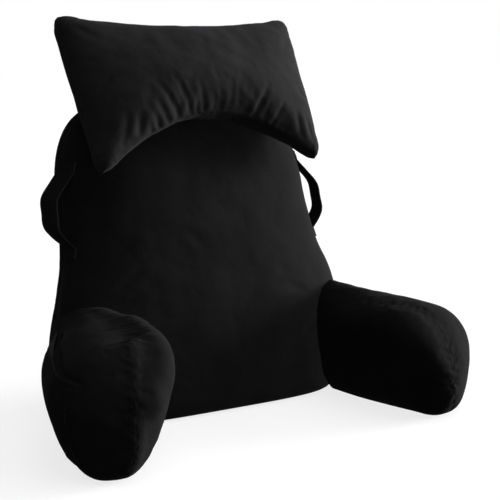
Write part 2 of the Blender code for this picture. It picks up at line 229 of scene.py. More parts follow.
# place across from -1 to 1, length as a share of the longest, lean outwards, depth
GATHERS = (
    (-0.56, 0.22, -0.02, 0.0012),
    (-0.49, 0.40, -0.07, 0.0018),
    (-0.40, 0.62, -0.13, 0.0019),
    (-0.31, 0.95, -0.17, 0.0025),
    (-0.20, 1.00, -0.13, 0.0023),
    (-0.14, 0.40, -0.03, 0.0009),
    (-0.08, 0.75, -0.05, 0.0018),
    (0.00, 0.50, 0.01, 0.0006),
    (0.06, 1.10, -0.02, 0.0008),
    (0.13, 0.55, 0.03, 0.0005),
    (0.20, 0.95, 0.05, 0.0008),
    (0.28, 0.45, 0.04, 0.0006),
    (0.36, 0.90, 0.17, 0.0027),
    (0.45, 0.50, 0.06, 0.0010),
    (0.53, 0.62, 0.13, 0.0013),
)
GATHER_SHARE = 0.9          # a gather's depth as a share of the table's
GATHER_WIDTH = 0.0035
GATHER_WIDENING = 0.5       # how much wider it is for its depth
GATHER_PEAK = 0.2           # where along it it is deepest

EAR_REACH = 0.030           # how far from its tip a corner of the neck pillow is reshaped
EAR_BLUNTNESS = 0.008       # how far the tip is drawn in
EAR_PUFF = 0.0020           # how far the skin behind it is filled out
EAR_PUFF_WIDTH = 0.6        # over this share of the reach

# start and end on the neck pillow's face as shares across and up from -1 to 1, depth, width
NECK_CREASES = (
    ((-0.93, -0.15), (-0.78, -0.02), 0.0016, 0.006),
    ((-0.95, -0.45), (-0.80, -0.30), 0.0014, 0.006),
    ((-0.95, 0.30), (-0.84, 0.24), 0.0010, 0.006),
    ((-0.82, -0.93), (-0.74, -0.55), 0.0016, 0.006),
    ((-0.68, -0.95), (-0.64, -0.62), 0.0014, 0.006),
    ((0.80, -0.94), (0.76, -0.60), 0.0016, 0.006),
    ((0.92, -0.90), (0.86, -0.60), 0.0014, 0.005),
    ((0.96, -0.35), (0.84, -0.25), 0.0012, 0.006),
    ((0.94, 0.60), (0.80, 0.42), 0.0012, 0.007),
    ((-0.92, 0.80), (-0.78, 0.55), 0.0012, 0.007),
)

# start and end on the back's front as x and height, depth, width
BACK_CREASES = (
    ((-0.200, 0.235), (-0.150, 0.262), 0.0016, 0.007),
    ((-0.205, 0.205), (-0.165, 0.215), 0.0012, 0.006),
    ((-0.190, 0.130), (-0.150, 0.120), 0.0012, 0.006),
    ((0.165, 0.120), (0.205, 0.135), 0.0012, 0.006),
    ((0.140, 0.215), (0.195, 0.195), 0.0014, 0.007),
    ((0.120, 0.250), (0.160, 0.238), 0.0010, 0.008),
    ((-0.060, 0.330), (-0.020, 0.300), 0.0008, 0.009),
    ((0.035, 0.190), (0.080, 0.215), 0.0008, 0.009),
    ((-0.120, 0.045), (-0.060, 0.040), 0.0010, 0.008),
    ((0.060, 0.040), (0.130, 0.048), 0.0010, 0.008),
)

# place along the left arm, angles round it from and to, depth
ARM_TOP_CREASES = (
    (0.288, (1.9, 1.2), 0.0009),
    (0.262, (2.0, 1.6), 0.0006),
    (0.236, (2.3, 1.7), 0.0008),
    (0.204, (1.9, 1.4), 0.0006),
)
ARM_CREASE_WIDTH = 0.005
ARM_CREASE_WAVE = (0.01, 3)     # how far a crease wanders along the arm, and how fast it does

# lines on the left arm where its cover swells: places along it, angles round it, height, width
ARM_SWELLINGS = (
    ((0.352, 0.352), (0.6, 2.5), 0.0045, 0.020),
    ((0.160, 0.345), (2.15, 2.15), 0.0060, 0.026),
    ((0.080, 0.250), (1.95, 1.95), 0.0060, 0.030),
)
NOSE_SEAM_SWELLING = (0.0060, 0.017)
NOSE_SEAM_START = 125       # the place in the panel seam's route from which it swells
POCKET_MOUTH_DIP = (-0.0050, 0.0045)
POCKET_FRONT_DIP = (-0.0030, 0.0040)
POCKET_HEM = 0.010          # height of the hem along the mouth
POCKET_EDGE_SHARE = 0.2     # share of the patch's thickness that is left where it is sewn down

# distance along an arm, and the panel seam's place there as a share of the half width on the sitter's side
SEAM_COLUMNS = ("along", "inner_share")
SEAM_ROWS = (
    (0.000, 0.96),
    (0.060, 0.92),
    (0.134, 0.76),
    (0.220, 0.46),
    (0.291, 0.20),
    (0.354, 0.05),
)
ROOT_FLARE = 0.002          # how far an arm's skin spreads out where it is sewn to the back
ROOT_FLARE_REACH = 0.016

RIGHT_ARM_PAINTED_SHADE = 0.78      # painted shade on the arms and painted light on the neck pillow: each one's velvet is made darker or lighter to match how the light falls on it
LEFT_ARM_PAINTED_SHADE = 0.92
NECK_PAINTED_LIGHT = 1.55


# ---------------------------------------------------------------- shared helpers

def read_table(columns, rows):
    return {name: np.array([row[place] for row in rows]) for place, name in enumerate(columns)}


def smooth(knots, values, at):
    """A smooth curve through a table's column."""
    slopes = np.gradient(values, knots)
    place = np.clip(np.searchsorted(knots, at, side="right") - 1, 0, len(knots) - 2)
    span = knots[place + 1] - knots[place]
    t = (at - knots[place]) / span
    return ((2 * t**3 - 3 * t**2 + 1) * values[place] + (3 * t**2 - 2 * t**3) * values[place + 1]
            + (t**3 - 2 * t**2 + t) * span * slopes[place] + (t**3 - t**2) * span * slopes[place + 1])


def closing(share, squareness):
    """1 up to share 0, then round down to 0 at share 1."""
    return (1 - np.clip(share, 0, 1) ** squareness) ** (1 / squareness)


def squared(wave, squareness):
    """A sine or cosine bent to a superellipse."""
    return np.sign(wave) * np.abs(wave) ** (2 / squareness)


def even_steps(points_of, count, start, stop):
    """Parameters from start to stop at which the points of a curve lie evenly spaced."""
    fine = np.linspace(start, stop, 1500)
    points = points_of(fine)
    run = np.concatenate([[0], np.cumsum(np.linalg.norm(np.diff(points, axis=0), axis=1))])
    return np.interp(np.linspace(0, run[-1], count), run, fine)


def tube_faces(rings, around):
    faces = [tuple(range(around))[::-1], tuple((rings - 1) * around + k for k in range(around))]
    for ring in range(rings - 1):
        low, high = ring * around, (ring + 1) * around
        for k in range(around):
            after = (k + 1) % around
            faces.append((low + k, low + after, high + after, high + k))
    return faces


def slab_faces(rows, columns):
    """Faces of two grids of points, the first outside, joined round their edges."""
    half = rows * columns
    faces = []
    for row in range(rows - 1):
        for column in range(columns - 1):
            a = row * columns + column
            quad = (a, a + 1, a + columns + 1, a + columns)
            faces += [quad, tuple(half + corner for corner in quad[::-1])]
    rim = ([column for column in range(columns)]
           + [row * columns + columns - 1 for row in range(1, rows)]
           + [(rows - 1) * columns + column for column in range(columns - 2, -1, -1)]
           + [row * columns for row in range(rows - 2, 0, -1)])
    for here, after in zip(rim, rim[1:] + rim[:1]):
        faces.append((here, half + here, half + after, after))
    return faces


def run_length(points):
    return np.linalg.norm(np.diff(points, axis=0), axis=1).sum()


def closed_mesh(name, points, faces):
    """A mesh whose faces all look outwards."""
    mesh = bpy.data.meshes.new(name)
    mesh.from_pydata(np.asarray(points).reshape(-1, 3).tolist(), [], faces)
    work = bmesh.new()
    work.from_mesh(mesh)
    bmesh.ops.recalc_face_normals(work, faces=work.faces)
    work.to_mesh(mesh)
    work.free()
    return mesh


def add_piece(name, points, faces, material):
    mesh = closed_mesh(name, points, faces)
    mesh.shade_smooth()
    piece = bpy.data.objects.new(name, mesh)
    mesh.materials.append(material)
    bpy.context.scene.collection.objects.link(piece)
    return piece


def read_points(piece, what="co"):
    values = np.empty(len(piece.data.vertices) * 3, np.float32)
    piece.data.vertices.foreach_get(what, values)
    return values.reshape(-1, 3).astype(float)


def write_points(piece, points):
    piece.data.vertices.foreach_set("co", points.astype(np.float32).ravel())
    piece.data.update()


def apply_modifiers(piece):
    """The piece's mesh as its modifiers show it, with no modifier left."""
    depsgraph = bpy.context.evaluated_depsgraph_get()
    made = bpy.data.meshes.new_from_object(piece.evaluated_get(depsgraph))
    piece.modifiers.clear()
    piece.data = made
    made.shade_smooth()


def finder(points):
    """A tree that finds the nearest of the points."""
    tree = KDTree(len(points))
    for place, point in enumerate(points):
        tree.insert(point, place)
    tree.balance()
    return tree


def cut_away(piece, cutter):
    cut = piece.modifiers.new("seat", "BOOLEAN")
    cut.operation = "DIFFERENCE"
    cut.object = cutter
    apply_modifiers(piece)


# ---------------------------------------------------------------- sewing

def denser(route):
    """A route's points, evenly spaced, with the run along it at each."""
    route = np.asarray(route)
    run = np.concatenate([[0], np.cumsum(np.linalg.norm(np.diff(route, axis=0), axis=1))])
    even = np.linspace(0, run[-1], int(run[-1] / ROUTE_STEP) + 2)
    return np.stack([np.interp(even, run, route[:, axis]) for axis in range(3)], axis=-1), even


def beside(route, points):
    """For each point its run along a route, its distance from it, its offset and the route's direction."""
    fine, run = denser(route)
    tree = finder(fine)
    found = [tree.find(point) for point in points]
    nearest = np.array([hit[1] for hit in found])
    away = np.array([hit[2] for hit in found])
    direction = np.gradient(fine, axis=0)
    direction /= np.linalg.norm(direction, axis=1, keepdims=True)
    return run[nearest], away, points - fine[nearest], direction[nearest], run[-1]


def groove(away, depth, width, roll):
    """How far a groove moves a point at a distance from its middle, with a soft roll beside it."""
    height, place, breadth = roll
    beside_it = np.exp(-((away - place * width) / (breadth * width)) ** 2)
    return depth * (-np.exp(-(away / width) ** 2) + height * beside_it)


def place_puckers(length, spacing, reach, depth, seed):
    """Puckers along a seam: where, how far each reaches, how wide and deep it is, its slant and its side."""
    rng = np.random.default_rng(seed)
    puckers = []
    for side in (-1, 1):
        place = rng.uniform(0, spacing)
        while place < length:
            puckers.append((place, reach * rng.uniform(*PUCKER_REACH), rng.uniform(*PUCKER_WIDTH),
                            depth * rng.uniform(*PUCKER_DEPTH), rng.uniform(*PUCKER_SLANT), side))
            place += spacing * rng.uniform(*PUCKER_SPACING)
    return puckers


def sew(points, normals, route, seam, seed=0):
    """How far a seam moves each point along its normal: a fine groove, a soft roll beside it and puckers."""
    depth, width, puckers = seam
    run, away, offset, direction, length = beside(route, points)
    side = np.sign((offset * np.cross(direction, normals)).sum(axis=1))
    push = groove(away, depth, width, SEAM_ROLL)
    if puckers:
        for place, reach, breadth, amount, slant, which in place_puckers(length, *puckers, seed):
            across = (run - place - slant * away) / breadth
            rise = np.clip(away / PUCKER_START, PUCKER_FOOT, 1) * np.exp(-(away / reach) ** 2)
            push -= amount * rise * np.exp(-across**2) * (side == which)
    return push


def crease(points, route, depth, width, peak=0.5):
    """How far a crease moves each point along its normal. It fades from its peak to both ends."""
    run, away, _, _, length = beside(route, points)
    share = np.clip(run / length, 0, 1)
    quarter_turns = np.where(share < peak, share / peak, 1 + (share - peak) / (1 - peak))
    fade = np.sin(math.pi * quarter_turns / 2) ** CREASE_FADE
    return groove(away, depth * fade, width, CREASE_ROLL)


def swelling(points, route, height, width):
    """A soft ridge along a route, or with a negative height a hollow."""
    away = beside(route, points)[1]
    return height * np.exp(-(away / width) ** 2)


def lumps(points, table, shift=0):
    """The soft unevenness of a loose filling under its cover."""
    push = np.zeros(len(points))
    for size, depth, seed in table:
        places = [Vector(place) for place in points / size + (seed + shift)]
        push += depth * np.array([noise.noise(place) + FINER_LUMPS * noise.noise(FINER_SCALE * place)
                                  for place in places])
    return push


def coarse_copy(points, faces):
    mesh = bpy.data.meshes.new("cover")
    mesh.from_pydata(points.tolist(), [], faces)
    cover = bpy.data.objects.new("cover", mesh)
    bpy.context.scene.collection.objects.link(cover)
    remesh = cover.modifiers.new("remesh", "REMESH")
    remesh.mode = "VOXEL"
    remesh.voxel_size = COVER_VOXEL
    apply_modifiers(cover)
    return cover


def simulate(cover, fullness):
    """Lets the cover's cloth settle under pressure, held by its group "seam", with less cloth in "plain"."""
    cloth = cover.modifiers.new("cloth", "CLOTH").settings
    cloth.quality = COVER_QUALITY
    cloth.vertex_group_mass = "seam"
    cloth.use_pressure = True
    cloth.uniform_pressure_force = COVER_PRESSURE
    cloth.vertex_group_shrink = "plain"
    cloth.shrink_min = -fullness
    cloth.shrink_max = 0
    cloth.bending_stiffness = COVER_BENDING
    cloth.effector_weights.gravity = 0
    for frame_number in range(1, COVER_FRAMES + 1):
        bpy.context.scene.frame_set(frame_number)
    apply_modifiers(cover)
    bpy.context.scene.frame_set(1)


def wrinkles_of(points, out):
    """What of a cover's movement is narrower than its form."""
    centres = points[::COVER_STRIDE]
    weights = np.exp(-((points[:, None] - centres[None]) ** 2).sum(axis=2) / COVER_FORM**2)
    form = (weights @ out[::COVER_STRIDE]) / weights.sum(axis=1)
    return np.clip(out - form, -COVER_CAP, COVER_CAP)


def blow_up(points, faces, seams, fuller, fullness):
    """How far a cover's cloth moves along its normal when its filling presses it out between its seams.

    The cloth is simulated on a coarse copy, held at its seams and with more cloth than it needs near the
    route where it is fuller. Only its wrinkles are kept, so the piece keeps its form.
    """
    reach, more = fullness
    cover = coarse_copy(points, faces)
    start, normals = read_points(cover), read_points(cover, "normal")
    away = beside(seams, start)[1]
    held = cover.vertex_groups.new(name="seam")
    held.add([int(place) for place in np.flatnonzero(away < COVER_VOXEL)], 1.0, "REPLACE")
    plain = cover.vertex_groups.new(name="plain")
    for place, share in enumerate(1 - np.exp(-(beside(fuller, start)[1] / reach) ** 2)):
        plain.add([place], float(share), "REPLACE")
    simulate(cover, more)
    wrinkle = wrinkles_of(start, ((read_points(cover) - start) * normals).sum(axis=1))
    bpy.data.objects.remove(cover, do_unlink=True)
    tree = finder(start)
    moved = np.empty(len(points))
    for place, point in enumerate(points):
        near = tree.find_n(point, COVER_NEAREST)
        share = np.array([1 / (hit[2] + 1e-4) for hit in near])
        moved[place] = (share * wrinkle[[hit[1] for hit in near]]).sum() / share.sum()
    return moved * np.clip(beside(seams, points)[1] / (2 * COVER_VOXEL), 0, 1)


def distance_to(piece, points):
    tree = BVHTree.FromObject(piece, bpy.context.evaluated_depsgraph_get())
    return np.array([tree.find_nearest(point)[3] for point in points])


# ---------------------------------------------------------------- back cushion's form

BACK = read_table(BACK_COLUMNS, BACK_ROWS)


def back_section(height, grow=0.0):
    """Half width, front spread, middle y and half depth of the level section at a height."""
    share = np.clip(height / BACK_HEIGHT, 0, 1)
    top = BACK_HEIGHT + grow
    shoulder = closing((height - BACK_SHOULDER_START) / (top - BACK_SHOULDER_START), BACK_SHOULDER_SQUARENESS)
    crown = closing((height - BACK_CROWN_START) / (top - BACK_CROWN_START), BACK_CROWN_SQUARENESS)
    depth = smooth(BACK["share"], BACK["depth"], share)
    middle = BACK_FRONT_FOOT + BACK_LEAN * height + depth / 2
    half_width = smooth(BACK["share"], BACK["half_width"], share) * shoulder + grow
    spread = smooth(BACK["share"], BACK["front_spread"], share)
    return half_width, spread, middle, depth / 2 * crown + grow


def front_crown(height):
    return BACK_FRONT_CROWN * np.sin(math.pi * np.clip(height / BACK_HEIGHT, 0, 1)) ** BACK_CROWN_FULLNESS


def back_rings(heights, angle, grow=0.0, foot_inset=0.0):
    across, along = squared(np.cos(angle), BACK_SQUARENESS), squared(np.sin(angle), BACK_SQUARENESS)
    half_width, spread, middle, half_depth = back_section(heights, grow)
    inset = foot_inset * (1 - closing((BACK_FOOT_ROUND - heights) / BACK_FOOT_ROUND, 2))
    frontness = ((1 - along) / 2) ** 2
    x = across * ((half_width - inset)[:, None] + spread[:, None] * frontness)
    y = middle[:, None] + (half_depth - inset)[:, None] * along
    y -= front_crown(heights)[:, None] * (1 - across**2) * frontness
    z = np.repeat(heights[:, None], len(angle), axis=1)
    return np.stack([x, y, z], axis=-1)


def side_of_back(y, height):
    """x of the back's side skin at a point seen from the side."""
    half_width, spread, middle, half_depth = back_section(height)
    swell = 0
    for _ in range(4):
        along = np.clip((y + swell - middle) / half_depth, -0.98, 0.98)
        across = (1 - np.abs(along) ** BACK_SQUARENESS) ** (1 / BACK_SQUARENESS)
        frontness = ((1 - along) / 2) ** 2
        swell = front_crown(height) * (1 - across**2) * frontness
    return across * (half_width + spread * frontness)


def back_angles(step):
    """Angles round the back that lie evenly spaced on its widest section."""
    def around(angle):
        return back_rings(np.array([0.2]), angle)[0]
    fine = np.linspace(0, 2 * math.pi, 2000)
    count = int(run_length(around(fine)) / step) // 4 * 4
    return even_steps(around, count + 1, 0, 2 * math.pi)[:-1]


def back_levels(step):
    """Heights whose rings lie evenly spaced over the front, the crown and the foot's rounding."""
    def over_the_edge(height):
        half_width, spread, middle, half_depth = back_section(height)
        inset = BACK_FOOT_INSET * (1 - closing((BACK_FOOT_ROUND - height) / BACK_FOOT_ROUND, 2))
        return np.stack([height, half_depth - inset], axis=-1)
    top = BACK_HEIGHT - 1e-5
    fine = np.linspace(0, top, 4000)
    return even_steps(over_the_edge, int(run_length(over_the_edge(fine)) / step), 0, top)


# ---------------------------------------------------------------- arms' form

ARM = read_table(ARM_COLUMNS, ARM_ROWS)
SEAM = read_table(SEAM_COLUMNS, SEAM_ROWS)


def arm_skin(along, angle, side):
    """A point of an arm's skin: a distance along its middle line and an angle round it."""
    nose_share = np.clip((along - ARM_NOSE_START) / (ARM_LENGTH - ARM_NOSE_START), 0, 1)
    panel_share = np.clip((along - ARM_PANEL_NOSE_START) / (ARM_LENGTH - ARM_PANEL_NOSE_START), 0, 1)
    nose = (1 - nose_share**ARM_NOSE_SQUARENESS) ** (1 / ARM_NOSE_ROOT)
    panel_nose = (1 - panel_share**ARM_NOSE_SQUARENESS) ** (1 / ARM_PANEL_NOSE_ROOT)
    brow = closing((along - ARM_BROW_START) / (ARM_LENGTH - ARM_BROW_START), ARM_BROW_SQUARENESS)
    foot = closing((along - (ARM_LENGTH - ARM_FOOT_ROUND)) / ARM_FOOT_ROUND, 2)
    tail = closing(-along / ARM_TAIL, 2)
    station = np.clip(along, 0, ARM_LENGTH)
    forwardness = station / ARM_LENGTH
    across, up = np.cos(angle), np.sin(angle)
    inner_half, lower_half = across < 0, up < 0
    panel_squareness = smooth(ARM["along"], ARM["panel_squareness"], station)
    squareness = np.where(inner_half, panel_squareness, ARM_OUTER_SQUARENESS)
    squareness = np.where(lower_half, ARM_LOWER_SQUARENESS, squareness)
    across, up = squared(across, squareness), squared(up, squareness)
    lowness = ((1 - up) / 2) ** ARM_UNDERCUT_POWER
    inner = smooth(ARM["along"], ARM["inner"], station) * (1 - ARM_INNER_UNDERCUT * lowness * forwardness)
    outer = smooth(ARM["along"], ARM["outer"], station) * (1 - ARM_OUTER_UNDERCUT * lowness)
    half_width = np.maximum(np.where(inner_half, inner * panel_nose, outer * nose) * tail, 0.001)
    width = half_width * across + ARM_FOOT_DRIFT * forwardness * lowness * nose
    top = smooth(ARM["along"], ARM["top"], station)
    top = ARM_NOSE_HEIGHT + (top - ARM_NOSE_HEIGHT) * brow * tail
    bottom = ARM_NOSE_HEIGHT * (1 - foot * tail)
    height = (top + bottom) / 2 + (top - bottom) / 2 * up
    drop = smooth(ARM["along"], ARM["right_slump" if side > 0 else "left_slump"], station) * tail
    height -= np.where(inner_half, drop * np.abs(across) ** ARM_DROP_POWER * np.clip(up, 0, 1), 0)
    x = ARM_ROOT[0] + along * math.sin(ARM_SPLAY) + width * math.cos(ARM_SPLAY)
    y = ARM_ROOT[1] - along * math.cos(ARM_SPLAY) + width * math.sin(ARM_SPLAY)
    return np.stack([side * x, y, np.maximum(height - ARM_FOOT_SINK, 0)], axis=-1)


def arm_stations(step):
    """Distances along an arm at which its rings lie evenly spaced over the tail and the nose."""
    def side_line(along):
        nose = closing((along - ARM_NOSE_START) / (ARM_LENGTH - ARM_NOSE_START), 2)
        tail = closing(-along / ARM_TAIL, 2)
        outer = smooth(ARM["along"], ARM["outer"], np.clip(along, 0, ARM_LENGTH))
        return np.stack([along, outer * nose * tail], axis=-1)
    start, stop = -ARM_TAIL + 1e-4, ARM_LENGTH - 1e-5
    fine = np.linspace(start, stop, 4000)
    return even_steps(side_line, int(run_length(side_line(fine)) / step), start, stop)


def arm_angles(step):
    def section(angle):
        return arm_skin(np.full_like(angle, 0.2), angle, 1)
    fine = np.linspace(-math.pi / 2, 1.5 * math.pi, 4000)
    count = int(run_length(section(fine)) / step)
    return even_steps(section, count + 1, -math.pi / 2, 1.5 * math.pi)[:-1]


def panel_seam(side):
    """The seam round the flat panel on the sitter's side: forward over the top, then down the nose."""
    along = np.linspace(SEAM["along"][0], SEAM["along"][-1], 160)
    share = smooth(SEAM["along"], SEAM["inner_share"], along)
    squareness = smooth(ARM["along"], ARM["panel_squareness"], along)
    over = arm_skin(along, math.pi - np.arccos(share ** (squareness / 2)), side)
    brow = arm_skin(np.linspace(along[-1], ARM_LENGTH - 1e-4, 60), np.full(60, math.pi / 2 + 0.02), side)
    chin = arm_skin(np.linspace(ARM_LENGTH - 1e-4, 0.330, 60), np.full(60, -math.pi / 2 - 0.02), side)
    return np.concatenate([over, brow, chin])


def angle_at_height(along, height):
    """The angles round the arm's outer half where its skin is at given heights."""
    angles = np.linspace(-math.pi / 2, math.pi / 2, 400)
    heights = arm_skin(np.full_like(angles, along), angles, 1)[:, 2]
    return np.interp(height, heights, angles)


# ---------------------------------------------------------------- neck pillow's form

NECK_UP_AXIS = np.array([0, math.sin(NECK_RECLINE), math.cos(NECK_RECLINE)])
NECK_BACK_AXIS = np.array([0, math.cos(NECK_RECLINE), -math.sin(NECK_RECLINE)])


def neck_grids(across, up):
    """Front and rear points of the neck pillow for shares across and up, from -1 to 1."""
    middleness = 1 - across**2
    half_height = NECK_HEIGHT / 2
    upper = half_height - NECK_TOP_SAG * middleness
    lower = -half_height + NECK_ARCH * middleness**NECK_ARCH_SHARPNESS
    rise = lower + (upper - lower) * (up + 1) / 2 + NECK_LIFT * across * (1 - up) / 2
    width = NECK_WIDTH / 2 * (1 - NECK_SIDE_SAG * (1 - up**2)) - NECK_TAPER * (1 - up) / 2
    x = across * width
    swell = NECK_ARCH_SWELL * middleness * ((1 - up) / 2) ** 2
    slope = NECK_EDGE_FULLNESS + NECK_ARCH_SLOPE * middleness * ((1 - up) / 2) ** 2
    fullness = (1 - up**2) ** slope
    plane = (np.array([0, *NECK_CENTRE]) + (x[..., None] * np.array([1, 0, 0])
             + rise[..., None] * NECK_UP_AXIS - swell[..., None] * NECK_BACK_AXIS))
    ahead = NECK_FRONT_CROWN * middleness**NECK_SIDE_FULLNESS * fullness + NECK_SEAM_HALF
    behind = NECK_REAR_CROWN * middleness**NECK_EDGE_FULLNESS * fullness + NECK_SEAM_HALF
    return plane - ahead[..., None] * NECK_BACK_AXIS, plane + behind[..., None] * NECK_BACK_AXIS


# ---------------------------------------------------------------- materials

VELVET_DARK = np.array([0.0035, 0.0035, 0.0037])
VELVET_LIGHT = np.array([0.0052, 0.0052, 0.0056])
VELVET_NAP = {"Scale": 14, "Detail": 5, "Roughness": 0.62}
VELVET_NAP_RANGE = (0.35, 0.68)
VELVET_PILE = {"Scale": 900, "Detail": 3}
VELVET_PILE_BUMP = {"Strength": 0.35, "Distance": 0.0008}
VELVET_DENTS = {"Scale": 26, "Detail": 4, "Distortion": 0.6}
VELVET_DENT_BUMP = {"Strength": 0.30, "Distance": 0.004}
VELVET_SPECULAR = 0.05
VELVET_SHEEN = 0.02
WEBBING_DARK = (0.003, 0.003, 0.0035)
WEBBING_LIGHT = (0.006, 0.006, 0.0066)
WEBBING_RIBS = {"Scale": 130, "Distortion": 0.5, "Detail": 1}
WEBBING_BUMP = {"Strength": 0.5, "Distance": 0.0006}
WHITE = (1, 1, 1, 1)


def set_sockets(node, values):
    for name, value in values.items():
        node.inputs[name].default_value = value


def new_material(name, values):
    material = bpy.data.materials.new(name)
    material.use_nodes = True
    tree = material.node_tree
    set_sockets(tree.nodes["Principled BSDF"], values)
    return material, tree


def texture(tree, kind, values):
    """A texture that lies in the piece's own coordinates."""
    node = tree.nodes.new(kind)
    set_sockets(node, values)
    where = tree.nodes.new("ShaderNodeTexCoord")
    tree.links.new(where.outputs["Object"], node.inputs["Vector"])
    return node


def add_bump(tree, height, values):
    """Puts a bump on top of those that the shader has."""
    normal = tree.nodes["Principled BSDF"].inputs["Normal"]
    bump = tree.nodes.new("ShaderNodeBump")
    set_sockets(bump, values)
    tree.links.new(height.outputs["Fac"], bump.inputs["Height"])
    if normal.is_linked:
        tree.links.new(normal.links[0].from_socket, bump.inputs["Normal"])
    tree.links.new(bump.outputs["Normal"], normal)


def add_colour(tree, factor, dark, light, span=(0, 1)):
    """Lets the colour run from dark to light where the factor runs over the span."""
    ramp = tree.nodes.new("ShaderNodeValToRGB")
    for element, position, colour in zip(ramp.color_ramp.elements, span, (dark, light)):
        element.position = position
        element.color = (*colour, 1)
    tree.links.new(factor.outputs["Fac"], ramp.inputs["Fac"])
    tree.links.new(ramp.outputs["Color"], tree.nodes["Principled BSDF"].inputs["Base Color"])


# The last argument makes lighter and darker copies of one velvet by scaling its colour, gloss and sheen:
# painted light above 1, painted shade below 1.
def velvet(name, painted_light_scale):
    material, tree = new_material(name, {
        "Roughness": 0.9,
        "Specular IOR Level": VELVET_SPECULAR * painted_light_scale,
        "Sheen Weight": VELVET_SHEEN * painted_light_scale,
        "Sheen Roughness": 0.45,
        "Sheen Tint": (0.55, 0.56, 0.60, 1),
    })
    nap = texture(tree, "ShaderNodeTexNoise", VELVET_NAP)
    add_colour(tree, nap, VELVET_DARK * painted_light_scale, VELVET_LIGHT * painted_light_scale, VELVET_NAP_RANGE)
    add_bump(tree, texture(tree, "ShaderNodeTexNoise", VELVET_PILE), VELVET_PILE_BUMP)
    add_bump(tree, texture(tree, "ShaderNodeTexNoise", VELVET_DENTS), VELVET_DENT_BUMP)
    return material


def webbing(name):
    material, tree = new_material(name, {"Roughness": 0.8, "Specular IOR Level": 0.05})
    ribs = texture(tree, "ShaderNodeTexWave", WEBBING_RIBS)
    ribs.wave_type = "BANDS"
    ribs.bands_direction = "Z"
    add_bump(tree, ribs, WEBBING_BUMP)
    add_colour(tree, ribs, WEBBING_DARK, WEBBING_LIGHT)
    return material


# ---------------------------------------------------------------- pieces

def make_back(material):
    angles = back_angles(BACK_STEP)
    heights = back_levels(BACK_STEP)
    rings = back_rings(heights, angles, foot_inset=BACK_FOOT_INSET)
    back = add_piece("back", rings, tube_faces(*rings.shape[:2]), material)
    points, normals = read_points(back), read_points(back, "normal")
    push = sum(sew(points, normals, side_seam(side), BACK_SEAM, seed=5 + side) for side in (-1, 1))
    push += lumps(points, BACK_LUMPS)
    for start, end, depth, width in BACK_CREASES:
        push += crease(points, on_back_front(start, end), depth, width)
    push = push * np.clip(points[:, 2] / GROUND_FADE, 0, 1)
    write_points(back, points + push[:, None] * normals)
    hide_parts("back_cushion")
    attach(back, "root")
    return back


def on_back_front(start, end):
    """A line over the back's front skin between two places given as x and height."""
    share = np.linspace(0, 1, 40)
    x = start[0] + (end[0] - start[0]) * share
    height = start[1] + (end[1] - start[1]) * share
    half_width, spread, middle, half_depth = back_section(height)
    across = np.clip(np.abs(x) / (half_width + spread), 0, 0.99)
    along = -((1 - across**BACK_SQUARENESS) ** (1 / BACK_SQUARENESS))
    frontness = ((1 - along) / 2) ** 2
    y = middle + half_depth * along - front_crown(height) * (1 - across**2) * frontness
    return np.stack([x, y, height], axis=-1)


def side_seam(side):
    """The seam between the back's front and rear panels, up one side of it."""
    heights = np.linspace(0.004, BACK_HEIGHT - 0.004, 200)
    half_width, spread, middle, half_depth = back_section(heights)
    return np.stack([side * (half_width + spread / 4), middle, heights], axis=-1)


def make_cutter():
    """The back's smooth form, a little larger: what leans on the back is cut to it."""
    heights = back_levels(SEAT_STEP)
    heights[0] = -0.02
    heights[-1] = BACK_HEIGHT + SEAT_GROW * 0.98
    rings = back_rings(heights, back_angles(SEAT_STEP), grow=SEAT_GROW)
    mesh = closed_mesh("seat_cutter", rings, tube_faces(*rings.shape[:2]))
    cutter = bpy.data.objects.new("seat_cutter", mesh)
    bpy.context.scene.collection.objects.link(cutter)
    return cutter


def left_arm_form(points, side, seam):
    """How the left arm's cover swells over its filling, and how the pocket's edges draw it in."""
    push = swelling(points, seam[NOSE_SEAM_START:], *NOSE_SEAM_SWELLING)
    for places, around, height, width in ARM_SWELLINGS:
        line = arm_skin(np.linspace(*places, 60), np.linspace(*around, 60), side)
        push += swelling(points, line, height, width)
    mouth, front_edge = pocket_borders(side)
    push += swelling(points, mouth, *POCKET_MOUTH_DIP) + swelling(points, front_edge, *POCKET_FRONT_DIP)
    wave, turns = ARM_CREASE_WAVE
    for place, around, depth in ARM_TOP_CREASES:
        angle = np.linspace(*around, 40)
        line = arm_skin(place + wave * np.sin(turns * angle), angle, side)
        push += crease(points, line, depth, ARM_CREASE_WIDTH)
    return push


def make_arm(name, side, cutter, material):
    stations, angles = arm_stations(ARM_STEP), arm_angles(ARM_STEP)
    rings = arm_skin(stations[:, None], angles[None, :], side)
    faces = tube_faces(*rings.shape[:2])
    arm = add_piece(name + "_filled", rings, faces, material)
    points, normals = read_points(arm), read_points(arm, "normal")
    seam = panel_seam(side)
    push = sew(points, normals, seam, PANEL_SEAM, seed=11 + side)
    push += ARM_WRINKLES * blow_up(points, faces, seam, seam, ARM_FULLNESS)
    push += lumps(points, ARM_LUMPS, shift=side)
    push += ROOT_FLARE * np.exp(-distance_to(cutter, points) / ROOT_FLARE_REACH)
    if side < 0:
        push += left_arm_form(points, side, seam)
    push = push * np.clip(points[:, 2] / GROUND_FADE, 0, 1)
    write_points(arm, points + push[:, None] * normals)
    cut_away(arm, cutter)
    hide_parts(name)
    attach(arm, "root")
    return arm


def shape_ear(points, normals, corner):
    """Blunts a corner of the neck pillow and fills it out behind its tip."""
    away = np.linalg.norm(points - corner, axis=1)
    inward = np.array([0, *NECK_CENTRE]) - corner
    inward /= np.linalg.norm(inward)
    blunted = EAR_BLUNTNESS * np.clip(1 - away / EAR_REACH, 0, 1) ** 2
    puffed = EAR_PUFF * np.exp(-((away - EAR_REACH) / (EAR_PUFF_WIDTH * EAR_REACH)) ** 2)
    return points + blunted[:, None] * inward + puffed[:, None] * normals


